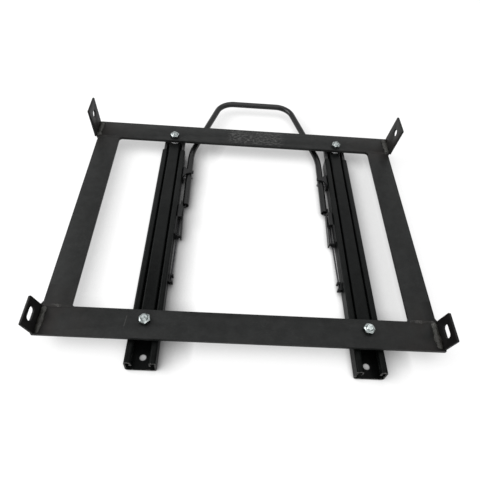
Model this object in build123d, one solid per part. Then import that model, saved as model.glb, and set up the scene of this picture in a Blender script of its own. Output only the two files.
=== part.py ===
from build123d import *
import os
from math import cos, hypot, radians, sin, tan

os.makedirs("parts", exist_ok=True)

# Sliding seat bracket, lying on its seat rails as it would on a bench.
# +X runs across the seat, +Y towards the release bar, +Z up.
# The origin is the middle of the four seat bolt holes, on the face that the seat bolts to.
# All sizes are in millimetres.

# Welded frame of flat bar
frame_span = 494.6          # cross bars, end to end
frame_offset = -18.3        # middle of the frame from the middle of the rails
cross_bar_width = 38.1
side_bar_width = 35.0
side_bar_inset = 3.0        # side bars stand in from the ends of the cross bars
bar_thickness = 4.7
corner_weld_leg = 4.5       # weld that fills each inner corner of the frame

# Corner tabs that bolt to the vehicle floor
tab_thickness = 3.0
tab_corner = 1.5
tab_foot = 2.0              # upright foot from the top of the bar to the bend
tab_bend = 5.0
near_left_tab_height = 22.4     # above the top of the bars
near_left_tab_lean = 18.0       # degrees, outwards
near_right_tab_height = 25.0
near_right_tab_lean = 12.0
near_right_tab_setback = 1.2    # from the near edge of the frame
near_slot_length = 18.0
near_slot_width = 8.4
near_slot_height = 13.0     # slot middle above the top of the bars
far_tab_height = 47.0
far_left_tab_lean = 3.2
far_right_tab_lean = 6.5
far_tab_lap = 2.0           # far tabs reach down the ends of their bar
far_hole_diameter = 12.0
far_hole_height = 29.0
tab_weld_leg = 4.0
tab_weld_rise = 1.4         # height of the bead against the tab
tab_weld_crown = 1.2        # height of the bead at its middle
tab_weld_inset = 2.5        # weld stops short of the edges of the tab
outer_weld_length = 5.5     # weld along the outer edge of each side bar, behind the near tabs

# Seat rails: an outer channel that carries the seat, on an inner rail bolted to the frame
rail_spacing = 273.4
rail_length = 371.0         # both rails
rail_width = 37.4
rail_height = 21.2
rail_sheet = 1.8
rail_bend = 2.4             # along the middle of the sheet
lip_gap = 20.8              # between the two folded-down lips
lip_fold = 8.6              # depth of the folded-down lips
inner_web_width = 17.2
inner_flange_width = 30.6
inner_flange_rise = 8.0     # height of the upturned flanges
inner_bend = 2.0
slide_offset = 36.9         # inner rail ahead of the outer rail, as photographed
slide_back = 60.0           # travel from here towards -Y
slide_forward = 120.0       # travel from here towards +Y
seat_hole_diameter = 8.6
seat_hole_inset = 15.4      # hole middle from the end of the outer rail

# Bearing balls in flat retainer strips, and glide shoes on the inner flanges
ball_diameter = 5.7
ball_play = 0.05
ball_row = 10.8             # ball row from the middle of the rail
retainer_sheet = 0.7
retainer_width = 8.4
retainer_play = 0.07
near_retainer = (70.0, 165.0)   # its ends, from the near end of the outer rail
far_retainer = (29.5, 61.5)     # its ends, from the far end of the outer rail
ball_pitch = 34.0
ball_inset = 6.0
shoe_length = 28.0
shoe_play = 0.2
shoe_skirt = 4.0
shoe_inset = 6.0
shoe_corner = 1.4

# Fasteners between the frame and the inner rails
bolt_diameter = 8.0
bolt_clearance = 0.3
bolt_inset = 13.8           # from the ends of the inner rail
near_bolt_setback = 23.5    # from the near edge of the frame
far_bolt_setback = 28.8     # from the far edge of the frame
hex_across_flats = 13.0
head_height = 5.3
head_face_diameter = 11.6   # round face under the head
head_face_height = 0.5
hex_chamfer = 1.2
nut_height = 6.5
thread_play = 0.03
thread_end = 2.0            # thread showing past the nut
washer_diameter = 16.0
washer_bore = 8.4
washer_thickness = 1.6
washers_per_bolt = 2

# Release bar
tube_diameter = 10.0
tube_wall = 1.2
tube_standoff = 10.8        # tube middle from the side of the rail
pivot_setback = 54.6        # from the far end of the outer rail
pivot_z = 11.0
bar_rise = 2.0              # degrees, as it lies against its stops
bar_rear = 58.1             # pivot to the open rear ends
bar_knee = 59.2             # pivot to the inward bends
bar_reach = 195.1           # pivot to the middle of the grip
grip_half_width = 61.8      # middle of the bar to the grip corners, before rounding
knee_radius = 100.0
grip_radius = 32.0

# Pivot brackets of the release bar, each with a strap that stops the bar
bracket_sheet = 2.5
bracket_bend = 2.6
bracket_back = 5.0          # plate behind the pivot
bracket_front = 18.0        # plate ahead of the pivot
bracket_low = 3.6
strap_offset = 6.6          # strap ahead of the pivot
strap_width = 5.0
strap_reach = 18.0          # from the rail wall
strap_root = 6.5            # wide part of the strap, from the rail wall
strap_taper = 4.5
strap_gap = 0.3
pin_diameter = 4.0
pin_play = 0.05
pin_end = 1.6               # pin showing past the tube
pin_chamfer = 0.5

# Latch that locks each outer rail to its inner rail
tooth_count = 2
tooth_pitch = 10.0
tooth_width = 4.5
tooth_play = 0.5
window_margin = 1.0         # tool past the faces of the rail wall
first_tooth = 41.0          # from the near end of the latch
tooth_reach = 5.4           # past the outside of the rail wall
latch_length = 61.0
latch_gap = 2.4             # latch to the open ends of the tube
latch_sheet = 2.0
latch_plate_z = 9.25        # middle of the toothed plate
latch_plate_end = 3.5       # toothed plate past the first tooth
latch_inner = 2.2           # toothed plate from the rail wall
latch_near_face = 10.6      # outside of the latch from the rail wall, near end
latch_far_face = 8.4
latch_skirt = 3.2           # lower edge of the latch
latch_crest = 13.5          # upper edge of the latch at its near end
latch_slope = 7.0           # length of the step down to the toothed plate
axis_standoff = 3.8         # latch axis from the rail wall
axis_z = 5.5
eye_radius = 2.2
ear_sheet = 2.0
ear_gap = 0.6
near_ear_setback = 2.0      # bracket ears from the ends of the latch
far_ear_setback = 5.0
latch_bracket_low = 12.4
latch_bracket_high = 18.2
cover_length = 24.0
cover_reach = 7.6
fork_arm = 2.4
fork_tongue_diameter = 2.0
fork_tongue_length = 13.5
fork_finger_width = 1.8
fork_finger_length = 11.0
fork_finger_gap = 0.4       # finger to the side of the tube
window_low = 4.3
window_high = 11.0

# Torsion rod that holds the latch home, and its anchor on the rail
rod_diameter = 2.2
rod_play = 0.06
rod_end = 2.5               # past the far ear and the anchor
rod_bend = 25.0
rod_straight = 6.0          # before the rod bends away
anchor_distance = 65.0      # from the near end of the latch
anchor_length = 10.4
anchor_reach = 6.2
anchor_sheet = 2.2
anchor_bend = 1.3
anchor_low = 3.6
anchor_high = 11.0
anchor_rod_standoff = 3.4
anchor_rod_z = 7.0

# Places worked out from the sizes above
left_x = -rail_spacing / 2
wall_x = left_x + rail_width / 2
inner_y = slide_offset
near_bolt_y = inner_y - rail_length / 2 + bolt_inset
far_bolt_y = inner_y + rail_length / 2 - bolt_inset
near_edge = near_bolt_y - near_bolt_setback
far_edge = far_bolt_y + far_bolt_setback
bar_bottom = rail_height + washers_per_bolt * washer_thickness
bar_top = bar_bottom + bar_thickness
frame_left = frame_offset - frame_span / 2
frame_right = frame_offset + frame_span / 2
rail_near = -rail_length / 2
rod_radius = rod_diameter / 2
bolt_hole = bolt_diameter / 2 + bolt_clearance
flange_low = rail_sheet + ball_diameter + 2 * ball_play
flange_tip = flange_low + inner_flange_rise
tube_x = wall_x + tube_standoff
pivot_y = -rail_near - pivot_setback
latch_far = pivot_y - bar_rear - latch_gap
latch_near = latch_far - latch_length
anchor_far = latch_near - anchor_distance
anchor_near = anchor_far - anchor_length
teeth_y = [latch_near + first_tooth + i * tooth_pitch for i in range(tooth_count)]
latch_low = latch_plate_z - latch_sheet / 2
latch_high = latch_plate_z + latch_sheet / 2
near_ear = latch_near + near_ear_setback
far_ear = latch_far - far_ear_setback
mirror_plane = Plane.YZ


def box(x, y, z):
    """Box between two values on each axis."""
    low = (min(x), min(y), min(z))
    size = (abs(x[1] - x[0]), abs(y[1] - y[0]), abs(z[1] - z[0]))
    return Pos(*low) * Box(*size, align=(Align.MIN, Align.MIN, Align.MIN))


def along_y(section, start, end):
    """Push a section drawn in X and Z out along Y."""
    plane = Plane(origin=(0, end, 0), x_dir=(1, 0, 0), z_dir=(0, -1, 0))
    return extrude(plane * section, amount=end - start)


def bent_sheet(points, sheet, bend):
    """Section of a folded sheet, from points along its middle."""
    return trace(FilletPolyline(*points, radius=bend), line_width=sheet)


def y_cylinder(x, z, radius, start, end):
    """Round bar along Y."""
    return along_y(Pos(x, z) * Circle(radius), start, end)


def z_cylinder(x, y, radius, low, high):
    """Round bar along Z."""
    return Pos(x, y, low) * extrude(Circle(radius), amount=high - low)


def x_cylinder(y, z, radius, start, end):
    """Round bar along X."""
    return Plane(origin=(start, y, z), z_dir=(1, 0, 0)) * extrude(Circle(radius), amount=end - start)


# Frame
def cross_bar(start, end):
    bar = box((frame_left, frame_right), (start, end), (bar_bottom, bar_top))
    for x in (left_x, -left_x):
        for y in (near_bolt_y, far_bolt_y):
            if start < y < end:
                bar -= z_cylinder(x, y, bolt_hole, bar_bottom, bar_top)
    return bar


def side_bar(outer_x, inner_x):
    return box((outer_x, inner_x), (near_edge + cross_bar_width, far_edge - cross_bar_width),
               (bar_bottom, bar_top))


def corner_weld(x, y, x_way, y_way):
    """Weld with a hollow face in an inner corner, which opens towards the two signs."""
    leg = corner_weld_leg
    corners = [(0, 0), (leg, 0), (0, leg), (0, 0)]
    face = make_face(Polyline(*[(x_way * a, y_way * b) for a, b in corners]))
    face -= Pos(x_way * leg, y_way * leg) * Circle(leg)
    return Pos(x, y, bar_bottom) * extrude(face, amount=bar_thickness)


def outer_weld(outer_x, edge_x):
    """Weld between the outer edge of a side bar and the ledge of the near cross bar."""
    edge_y = near_edge + cross_bar_width
    face = make_face(Polyline((outer_x, edge_y), (edge_x, edge_y), (outer_x, edge_y + outer_weld_length),
                              (outer_x, edge_y)))
    return Pos(0, 0, bar_bottom) * extrude(face, amount=bar_thickness)


def frame_corner_welds():
    welds = []
    left_outer = frame_left + side_bar_inset
    left_inner = left_outer + side_bar_width
    right_outer = frame_right - side_bar_inset
    right_inner = right_outer - side_bar_width
    for y, y_way in ((near_edge + cross_bar_width, 1), (far_edge - cross_bar_width, -1)):
        welds.append(corner_weld(left_inner, y, 1, y_way))
        welds.append(corner_weld(right_inner, y, -1, y_way))
    welds.append(outer_weld(left_outer, frame_left))
    welds.append(outer_weld(right_outer, frame_right))
    return welds


# Corner tabs, drawn at the right-hand end of the frame
def plate_x(outer_x, lean, z):
    """Middle of the leaning plate of a tab at a height."""
    return outer_x - tab_thickness / 2 + (z - bar_top - tab_foot) * tan(radians(lean))


def corner_tab(outer_x, base, start, height, lean, hole_height, length, width):
    """Folded tab with a short upright foot, and a hole or slot square to its leaning plate."""
    foot_x = outer_x - tab_thickness / 2
    top = bar_top + height
    points = [(foot_x, base), (foot_x, bar_top + tab_foot), (plate_x(outer_x, lean, top), top)]
    tab = along_y(bent_sheet(points, tab_thickness, tab_bend), start, start + cross_bar_width)
    tab = fillet(top_corners(tab), tab_corner)
    z = bar_top + hole_height
    middle = (plate_x(outer_x, lean, z), start + cross_bar_width / 2, z)
    plane = Plane(origin=middle, x_dir=(0, 1, 0), z_dir=(cos(radians(lean)), 0, -sin(radians(lean))))
    shape = Circle(width / 2) if length == width else SlotOverall(length, width)
    return tab - extrude(plane * shape, amount=tab_thickness * 2, both=True)


def top_corners(tab):
    """The two short edges across the thickness at the top of a tab."""
    level = tab.edges().filter_by(lambda edge: abs(edge.tangent_at(0).Y) < 0.1)
    across = level.filter_by(lambda edge: edge.length < tab_thickness + tab_corner)
    return across.sort_by(Axis.Z)[-2:]


def to_left(piece):
    """The same piece at the other end of the frame."""
    middle = Plane(origin=(frame_offset, 0, 0), z_dir=(1, 0, 0))
    return mirror(piece, about=middle)


def tab_weld(inner_x, start):
    """Bead in the angle between a tab and the top of its bar."""
    foot = (inner_x - tab_weld_leg, bar_top)
    crown = (inner_x - tab_weld_leg / 2, bar_top + tab_weld_crown)
    rise = (inner_x, bar_top + tab_weld_rise)
    face = make_face(Line((inner_x, bar_top), foot) + ThreePointArc(foot, crown, rise)
                     + Line(rise, (inner_x, bar_top)))
    return along_y(face, start + tab_weld_inset, start + cross_bar_width - tab_weld_inset)


# Rails
def outer_section():
    half = rail_width / 2 - rail_sheet / 2
    low = rail_sheet / 2
    high = rail_height - rail_sheet / 2
    lip = lip_gap / 2 + rail_sheet / 2
    tip = rail_height - lip_fold
    points = [(-lip, tip), (-lip, high), (-half, high), (-half, low),
              (half, low), (half, high), (lip, high), (lip, tip)]
    return bent_sheet(points, rail_sheet, rail_bend)


def inner_section():
    web = inner_web_width / 2 - rail_sheet / 2
    high = rail_height - rail_sheet / 2
    flange = inner_flange_width / 2 - rail_sheet / 2
    low = flange_low + rail_sheet / 2
    points = [(-flange, flange_tip), (-flange, low), (-web, low), (-web, high),
              (web, high), (web, low), (flange, low), (flange, flange_tip)]
    return bent_sheet(points, rail_sheet, inner_bend)


def outer_rail():
    rail = along_y(Pos(left_x, 0) * outer_section(), rail_near, -rail_near)
    for y in (rail_near + seat_hole_inset, -rail_near - seat_hole_inset):
        rail -= z_cylinder(left_x, y, seat_hole_diameter / 2, 0, rail_sheet)
    half = tooth_width / 2 + tooth_play
    for y in teeth_y:
        rail -= box((wall_x - rail_sheet - window_margin, wall_x + window_margin), (y - half, y + half),
                    (window_low, window_high))
    return rail


def inner_rail():
    start = inner_y - rail_length / 2
    rail = along_y(Pos(left_x, 0) * inner_section(), start, start + rail_length)
    for y in (near_bolt_y, far_bolt_y):
        rail -= z_cylinder(left_x, y, bolt_hole, rail_height - rail_sheet, rail_height)
    half = tooth_width / 2 + tooth_play
    swing = hypot(tooth_reach + axis_standoff, latch_high - axis_z) - axis_standoff
    notch_inner = wall_x - swing - tooth_play
    notch_count = round((slide_back + slide_forward) / tooth_pitch) + tooth_count
    for i in range(notch_count):
        y = teeth_y[0] - slide_back + i * tooth_pitch
        rail -= box((notch_inner, wall_x), (y - half, y + half), (flange_low, window_high))
    return rail


# Bearings
def retainer_spans():
    near = [rail_near + end for end in near_retainer]
    far = [-rail_near - end for end in reversed(far_retainer)]
    return [near, far]


def ball_places(start, end):
    """Balls at both ends of a strip, and evenly between them."""
    first = start + ball_inset
    last = end - ball_inset
    steps = max(1, round((last - first) / ball_pitch))
    return [first + (last - first) * i / steps for i in range(steps + 1)]


def ball_z():
    return rail_sheet + ball_play + ball_diameter / 2


def bearing_balls():
    balls = []
    for start, end in retainer_spans():
        for y in ball_places(start, end):
            for side in (-1, 1):
                balls.append(Pos(left_x + side * ball_row, y, ball_z()) * Sphere(ball_diameter / 2))
    return balls


def ball_retainers():
    strips = []
    z = ball_z()
    for start, end in retainer_spans():
        for side in (-1, 1):
            x = left_x + side * ball_row
            strip = Pos(x, (start + end) / 2, z) * Box(retainer_width, end - start, retainer_sheet)
            for y in ball_places(start, end):
                strip -= z_cylinder(x, y, ball_diameter / 2 + retainer_play,
                                    z - retainer_sheet, z + retainer_sheet)
            strips.append(strip)
    return strips


def glide_shoe_section():
    """Cap on the tip of an upturned flange, under the lip of the outer rail."""
    flange_out = inner_flange_width / 2
    inside = lip_gap / 2 + rail_sheet + shoe_play
    outside = rail_width / 2 - rail_sheet - shoe_play
    top = rail_height - rail_sheet - shoe_play
    skirt = flange_tip - shoe_skirt
    points = [(inside, flange_tip), (inside, top), (outside, top), (outside, skirt),
              (flange_out, skirt), (flange_out, flange_tip)]
    face = make_face(Polyline(*points, points[0]))
    return fillet(face.vertices().sort_by(Axis.Y)[-2:], shoe_corner)


def glide_shoes():
    shoes = []
    start = inner_y - rail_length / 2 + shoe_inset
    end = inner_y + rail_length / 2 - shoe_inset
    for near in (start, end - shoe_length):
        section = glide_shoe_section()
        for face in (section, mirror(section, about=Plane.YZ)):
            shoes.append(along_y(Pos(left_x, 0) * face, near, near + shoe_length))
    return shoes


# Fasteners
def hexagon(height):
    """Hexagon with flats facing across the rail and its corners turned off."""
    radius = hex_across_flats / 2
    prism = extrude(RegularPolygon(radius, 6, major_radius=False, rotation=30), amount=height)
    corner = radius / cos(radians(30))
    turned = Cylinder(corner, height, align=(Align.CENTER, Align.CENTER, Align.MIN))
    edge = turned.edges().filter_by(GeomType.CIRCLE).sort_by(Axis.Z)[-1]
    return prism & chamfer(edge, hex_chamfer)


def frame_bolt(x, y):
    head_top = rail_height - rail_sheet
    hex_top = head_top - head_face_height
    head = Pos(x, y, hex_top) * mirror(hexagon(head_height - head_face_height), about=Plane.XY)
    head += z_cylinder(x, y, head_face_diameter / 2, hex_top, head_top)
    thread_top = bar_top + nut_height + thread_end
    return head + z_cylinder(x, y, bolt_diameter / 2, head_top, thread_top)


def frame_nut(x, y):
    nut = Pos(x, y, bar_top) * hexagon(nut_height)
    return nut - z_cylinder(x, y, bolt_diameter / 2 + thread_play, bar_top, bar_top + nut_height)


def bolt_washers(x, y):
    stack = []
    for i in range(washers_per_bolt):
        low = rail_height + i * washer_thickness
        disc = z_cylinder(x, y, washer_diameter / 2, low, low + washer_thickness)
        stack.append(disc - z_cylinder(x, y, washer_bore / 2, low, low + washer_thickness))
    return stack


# Release bar
def release_bar():
    rise = radians(bar_rise)
    plane = Plane(origin=(0, pivot_y, pivot_z), x_dir=(1, 0, 0), z_dir=(0, -sin(rise), cos(rise)))
    corners = [(tube_x, -bar_rear), (tube_x, bar_knee), (-grip_half_width, bar_reach),
               (grip_half_width, bar_reach), (-tube_x, bar_knee), (-tube_x, -bar_rear)]
    radii = [knee_radius, grip_radius, grip_radius, knee_radius]
    path = plane * FilletPolyline(*corners, radius=radii)
    start = Plane(origin=path @ 0, z_dir=path % 0)
    tube = sweep(start * Circle(tube_diameter / 2), path=path)
    tube -= sweep(start * Circle(tube_diameter / 2 - tube_wall), path=path)
    pin_hole = x_cylinder(pivot_y, pivot_z, pin_diameter / 2 + pin_play, -rail_spacing / 2, rail_spacing / 2)
    return tube - pin_hole


def handle_bracket():
    """Folded plate on the rail wall that carries the pivot pin, with a strap over the tube."""
    strap_near = pivot_y + strap_offset - strap_width / 2
    strap_far = strap_near + strap_width
    middle = bracket_sheet / 2
    strap_z = tube_top(strap_far) + strap_gap + middle
    section = bent_sheet([(wall_x + middle, bracket_low), (wall_x + middle, strap_z),
                          (wall_x + strap_reach, strap_z)], bracket_sheet, bracket_bend)
    near = pivot_y - bracket_back
    far = pivot_y + bracket_front
    outline = [(0, near), (0, far), (bracket_sheet, far), (strap_root, far - strap_taper),
               (strap_root + strap_taper, strap_far), (strap_reach, strap_far), (strap_reach, strap_near),
               (strap_root + strap_taper, strap_near), (strap_root, strap_near - strap_taper / 2),
               (bracket_sheet, near), (0, near)]
    plan = make_face(Polyline(*[(wall_x + x, y) for x, y in outline]))
    bracket = along_y(section, near, far) & extrude(plan, amount=strap_z + bracket_sheet)
    return bracket - x_cylinder(pivot_y, pivot_z, pin_diameter / 2, wall_x, wall_x + bracket_sheet)


def tube_top(y):
    """Height of the top of the tube at rest beside a rail."""
    return pivot_z + (y - pivot_y) * tan(radians(bar_rise)) + tube_diameter / 2 / cos(radians(bar_rise))


def pivot_pin():
    pin = x_cylinder(pivot_y, pivot_z, pin_diameter / 2, wall_x,
                     tube_x + tube_diameter / 2 + pin_end)
    edge = pin.edges().filter_by(GeomType.CIRCLE).sort_by(Axis.X)[-1]
    return chamfer(edge, pin_chamfer)


# Latch
def latch_bracket():
    """Strip on the rail wall with two ears for the torsion rod and a cover over the teeth."""
    middle = ear_sheet / 2
    low = axis_z - eye_radius
    root = Rectangle(ear_sheet, latch_bracket_low - low, align=(Align.MIN, Align.MIN))
    eye = Pos(wall_x + axis_standoff, axis_z) * Circle(eye_radius)
    ear = make_hull((Pos(wall_x, low) * root).edges() + eye.edges())
    strip = box((wall_x, wall_x + ear_sheet), (near_ear - middle, far_ear + middle),
                (latch_bracket_low, latch_bracket_high))
    top = latch_bracket_high - middle
    fold = bent_sheet([(wall_x + middle, latch_bracket_low), (wall_x + middle, top),
                       (wall_x + cover_reach, top)], ear_sheet, ear_sheet)
    cover_far = far_ear + middle
    bracket = strip - box((wall_x, wall_x + ear_sheet), (cover_far - cover_length, cover_far),
                          (latch_bracket_low, latch_bracket_high))
    bracket += along_y(fold, cover_far - cover_length, cover_far)
    for y in (near_ear, far_ear):
        bracket += along_y(ear, y - middle, y + middle)
    return bracket - y_cylinder(wall_x + axis_standoff, axis_z, rod_radius + rod_play,
                                near_ear - ear_sheet, far_ear + ear_sheet)


def latch_face(y):
    """Outside of the slanting latch from the rail wall, at a place along it."""
    share = (y - latch_near) / latch_length
    return latch_near_face + (latch_far_face - latch_near_face) * share


def latch_lever():
    """Upright plate with teeth that reach through the rail wall and a fork for the tube end."""
    near_x = wall_x + latch_face(latch_near)
    far_x = wall_x + latch_face(latch_far)
    plan = [(near_x - latch_sheet, latch_near), (near_x, latch_near),
            (far_x, latch_far), (far_x - latch_sheet, latch_far)]
    lever = extrude(make_face(Polyline(*plan, plan[0])), amount=latch_crest - latch_skirt)
    lever = Pos(0, 0, latch_skirt) * lever
    plate_near = teeth_y[0] - tooth_width / 2 - latch_plate_end
    plate_far = far_ear - ear_sheet / 2 - ear_gap
    side = [(latch_near, latch_skirt), (latch_near, latch_crest),
            (plate_near - latch_slope, latch_crest), (plate_near, latch_high),
            (latch_far, latch_high), (latch_far, latch_skirt), (latch_near, latch_skirt)]
    plane = Plane(origin=(wall_x, 0, 0), x_dir=(0, 1, 0), z_dir=(1, 0, 0))
    lever &= extrude(plane * make_face(Polyline(*side)), amount=latch_near_face)
    plate = [(latch_inner, plate_near), (latch_face(plate_near) - latch_sheet / 2, plate_near),
             (latch_face(plate_far) - latch_sheet / 2, plate_far), (latch_inner, plate_far)]
    sheet = make_face(Polyline(*[(wall_x + x, y) for x, y in plate + plate[:1]]))
    lever += Pos(0, 0, latch_low) * extrude(sheet, amount=latch_sheet)
    for y in teeth_y:
        lever += box((wall_x - tooth_reach, wall_x + latch_inner), (y - tooth_width / 2, y + tooth_width / 2),
                     (latch_low, latch_high))
    axis_x = wall_x + axis_standoff
    ear_near = near_ear + ear_sheet / 2 + ear_gap
    for y in (ear_near, plate_far - ear_sheet):
        lever += box((axis_x, wall_x + latch_face(y) - latch_sheet / 2), (y, y + ear_sheet),
                     (axis_z - eye_radius, latch_low))
        lever += y_cylinder(axis_x, axis_z, eye_radius, y, y + ear_sheet)
    lever -= y_cylinder(axis_x, axis_z, rod_radius + rod_play, latch_near, latch_far)
    return lever + latch_fork()


def latch_fork():
    """Cross arm with a tongue inside the tube end and a finger beside it."""
    tongue_x = wall_x + tube_standoff
    finger_x = tongue_x - tube_diameter / 2 - fork_finger_gap
    tongue_radius = fork_tongue_diameter / 2
    arm_near = latch_far - fork_arm
    fork = box((finger_x - fork_finger_width, tongue_x + tongue_radius), (arm_near, latch_far),
               (latch_low, latch_high))
    fork += y_cylinder(tongue_x, latch_plate_z, tongue_radius, arm_near, latch_far + fork_tongue_length)
    return fork + box((finger_x - fork_finger_width, finger_x), (arm_near, latch_far + fork_finger_length),
                      (latch_low, latch_high))


def torsion_rod():
    axis_x = wall_x + axis_standoff
    anchor_x = wall_x + anchor_rod_standoff
    points = [(axis_x, far_ear + ear_sheet / 2 + rod_end, axis_z),
              (axis_x, near_ear - rod_straight, axis_z),
              (anchor_x, anchor_far + rod_straight, anchor_rod_z),
              (anchor_x, anchor_near - rod_end, anchor_rod_z)]
    path = FilletPolyline(*points, radius=rod_bend)
    return sweep(Plane(origin=path @ 0, z_dir=path % 0) * Circle(rod_radius), path=path)


def rod_anchor():
    """Two-pronged hook on the rail wall."""
    middle = anchor_sheet / 2
    points = [(wall_x + anchor_reach, anchor_near), (wall_x + middle, anchor_near),
              (wall_x + middle, anchor_far), (wall_x + anchor_reach, anchor_far)]
    hook = Pos(0, 0, anchor_low) * extrude(bent_sheet(points, anchor_sheet, anchor_bend),
                                           amount=anchor_high - anchor_low)
    return hook - y_cylinder(wall_x + anchor_rod_standoff, anchor_rod_z, rod_radius + rod_play,
                             anchor_near - anchor_sheet, anchor_far + anchor_sheet)


def write(name, *solids):
    """Write one node, as one solid or as a group of separate solids."""
    shape = solids[0] if len(solids) == 1 else Compound(children=list(solids))
    export_step(shape, f"parts/{name}.step")


def write_pair(name, pieces):
    """Write a left piece and its mirror image on the right."""
    write(f"left_{name}", *pieces)
    write(f"right_{name}", *[mirror(piece, about=mirror_plane) for piece in pieces])


# Frame
write("near_cross_bar", cross_bar(near_edge, near_edge + cross_bar_width))
write("far_cross_bar", cross_bar(far_edge - cross_bar_width, far_edge))
left_bar_x = frame_left + side_bar_inset
right_bar_x = frame_right - side_bar_inset
write("left_side_bar", side_bar(left_bar_x, left_bar_x + side_bar_width))
write("right_side_bar", side_bar(right_bar_x, right_bar_x - side_bar_width))
write("frame_corner_welds", *frame_corner_welds())

# The near tabs stand on their bar, and the far tabs lie against the ends of theirs
right_tab_near = near_edge + near_right_tab_setback
far_tab_near = far_edge - cross_bar_width
near_left_tab = corner_tab(frame_right, bar_top, near_edge, near_left_tab_height, near_left_tab_lean,
                           near_slot_height, near_slot_length, near_slot_width)
near_right_tab = corner_tab(frame_right, bar_top, right_tab_near, near_right_tab_height, near_right_tab_lean,
                            near_slot_height, near_slot_length, near_slot_width)
far_tabs = [corner_tab(frame_right + tab_thickness, bar_top - far_tab_lap, far_tab_near, far_tab_height,
                       lean, far_hole_height, far_hole_diameter, far_hole_diameter)
            for lean in (far_left_tab_lean, far_right_tab_lean)]
write("near_left_tab", to_left(near_left_tab))
write("near_right_tab", near_right_tab)
write("far_left_tab", to_left(far_tabs[0]))
write("far_right_tab", far_tabs[1])
write("tab_welds", to_left(tab_weld(frame_right - tab_thickness, near_edge)),
      tab_weld(frame_right - tab_thickness, right_tab_near),
      to_left(tab_weld(frame_right, far_tab_near)), tab_weld(frame_right, far_tab_near))

# Rails and what lies between them
write_pair("inner_rail", [inner_rail()])
write_pair("outer_rail", [outer_rail()])
write_pair("glide_shoes", glide_shoes())
write_pair("bearing_balls", bearing_balls())
write_pair("ball_retainers", ball_retainers())

# Fasteners
bolt_places = [(x, y) for x in (left_x, -left_x) for y in (near_bolt_y, far_bolt_y)]
write("frame_bolts", *[frame_bolt(x, y) for x, y in bolt_places])
write("frame_nuts", *[frame_nut(x, y) for x, y in bolt_places])
write("spacer_washers", *[washer for x, y in bolt_places for washer in bolt_washers(x, y)])

# Release bar and latches
write("release_bar", release_bar())
write_pair("handle_bracket", [handle_bracket()])
write_pair("pivot_pin", [pivot_pin()])
write_pair("latch_bracket", [latch_bracket()])
write_pair("latch_lever", [latch_lever()])
write_pair("torsion_rod", [torsion_rod()])
write_pair("rod_anchor", [rod_anchor()])
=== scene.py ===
import bpy
import bmesh
import math
from mathutils import Matrix, Vector


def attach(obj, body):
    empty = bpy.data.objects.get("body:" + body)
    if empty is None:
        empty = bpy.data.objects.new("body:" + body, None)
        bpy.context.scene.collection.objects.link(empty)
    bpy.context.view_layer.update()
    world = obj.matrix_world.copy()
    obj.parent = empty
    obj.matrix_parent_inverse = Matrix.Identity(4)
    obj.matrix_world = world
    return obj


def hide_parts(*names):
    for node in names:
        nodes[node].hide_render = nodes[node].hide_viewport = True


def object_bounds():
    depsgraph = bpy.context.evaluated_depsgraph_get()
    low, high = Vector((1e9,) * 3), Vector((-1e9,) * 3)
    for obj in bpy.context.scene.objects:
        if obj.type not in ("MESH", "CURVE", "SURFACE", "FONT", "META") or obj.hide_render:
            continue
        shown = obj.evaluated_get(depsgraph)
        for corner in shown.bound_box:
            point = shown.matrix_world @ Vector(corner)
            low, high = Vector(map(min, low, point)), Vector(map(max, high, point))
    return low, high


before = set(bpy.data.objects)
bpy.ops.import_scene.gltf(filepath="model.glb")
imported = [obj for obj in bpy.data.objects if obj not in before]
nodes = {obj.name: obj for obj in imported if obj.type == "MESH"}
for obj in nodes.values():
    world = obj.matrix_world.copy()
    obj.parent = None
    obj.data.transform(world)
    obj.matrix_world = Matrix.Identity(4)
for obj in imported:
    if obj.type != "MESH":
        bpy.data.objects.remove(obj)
cadBox = [list(corner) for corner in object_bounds()]
scene = bpy.context.scene
mm = 0.001
print("frame loaded:", len(nodes), "nodes")

# Places shared with the CAD model, in metres. X runs across, Y towards the release bar.
seat = {
    "frameMiddle": -18.3 * mm,
    "frameSpan": 494.6 * mm,
    "barBottom": 24.4 * mm,
    "barTop": 29.1 * mm,
    "nearEdge": -158.3 * mm,
    "farEdge": 237.4 * mm,
    "crossBarWidth": 38.1 * mm,
    "sideBarWidth": 35 * mm,
    "sideBarInset": 3 * mm,
    "railSpacing": 273.4 * mm,
    "railNearEnd": -185.5 * mm,
    "railWidth": 37.4 * mm,
    "railHeight": 21.2 * mm,
    "railSheet": 1.8 * mm,
    "nearBolt": -134.8 * mm,
    "farBolt": 208.6 * mm,
    "pivotY": 130.9 * mm,
    "pivotZ": 11 * mm,
}


# Helpers for shader and geometry nodes
def addNode(tree, kind, **settings):
    node = tree.nodes.new(kind)
    for name, value in settings.items():
        setattr(node, name, value)
    return node


# Links a socket, or sets it where a plain value is given
def feed(tree, socket, value):
    if isinstance(value, bpy.types.NodeSocket):
        tree.links.new(value, socket)
    elif isinstance(value, (tuple, list)) and socket.type == "RGBA":
        socket.default_value = (*value[:3], 1)
    else:
        socket.default_value = value


def feedAll(tree, node, values):
    for name, value in values.items():
        feed(tree, node.inputs[name], value)
    return node


def mathNode(tree, operation, first, second=0.0, clamp=False):
    node = addNode(tree, "ShaderNodeMath", operation=operation, use_clamp=clamp)
    feed(tree, node.inputs[0], first)
    feed(tree, node.inputs[1], second)
    return node.outputs[0]


def product(tree, first, *others):
    for other in others:
        first = mathNode(tree, "MULTIPLY", first, other)
    return first


# Sum of sockets, each with its own share
def blend(tree, *shares, clamp=False):
    parts = [product(tree, value, share) for value, share in shares]
    result = parts[0]
    for part in parts[1:]:
        result = mathNode(tree, "ADD", result, part, clamp=clamp and part is parts[-1])
    return result


# How far a coordinate is from a place
def away(tree, value, middle):
    return mathNode(tree, "ABSOLUTE", mathNode(tree, "SUBTRACT", value, middle))


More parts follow.
